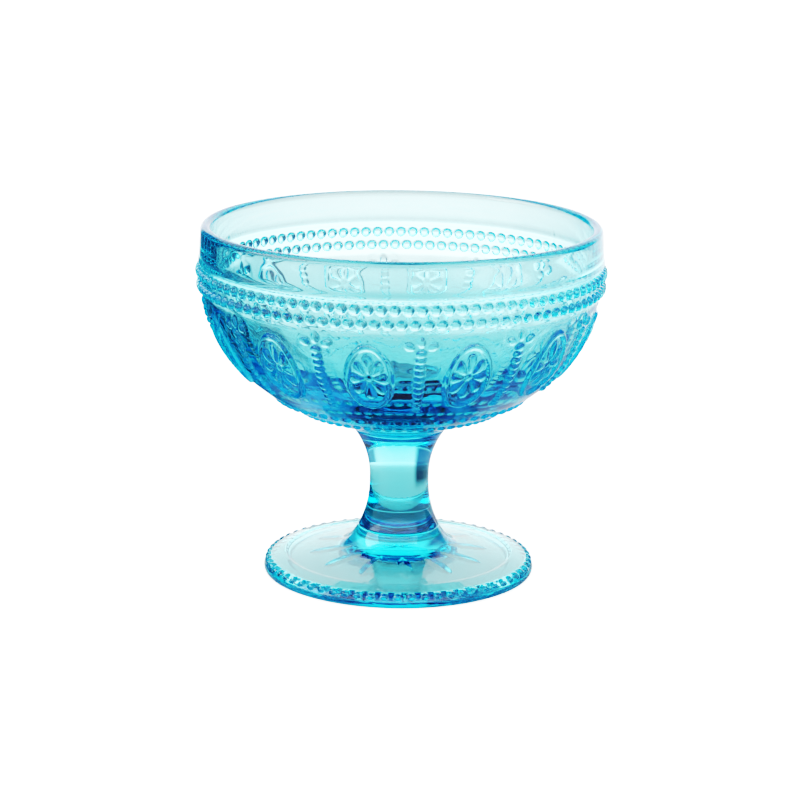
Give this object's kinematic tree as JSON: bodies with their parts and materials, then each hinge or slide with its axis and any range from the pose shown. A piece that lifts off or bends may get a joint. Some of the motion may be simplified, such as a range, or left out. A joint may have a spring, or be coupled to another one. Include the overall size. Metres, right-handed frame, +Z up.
{
  "type": "footed cocktail glass",
  "caption": "Round pressed-glass bowl for drinks and desserts, with beaded bands and flower medallions, on a short solid stem and a round beaded foot.",
  "frame": {"origin": "centre of the foot's resting ring, on the surface the glass stands on", "axes": "+Z up along the axis of the bowl, stem and foot; -Y is the front"},
  "size_m": [0.1128, 0.1128, 0.0984],
  "materials": {
    "blue_glass": "clear, fire-polished, blue throughout"
  },
  "bodies": {
    "root": {"bowl": "blue_glass", "stem": "blue_glass", "foot": "blue_glass"}
  },
  "joints": []
}
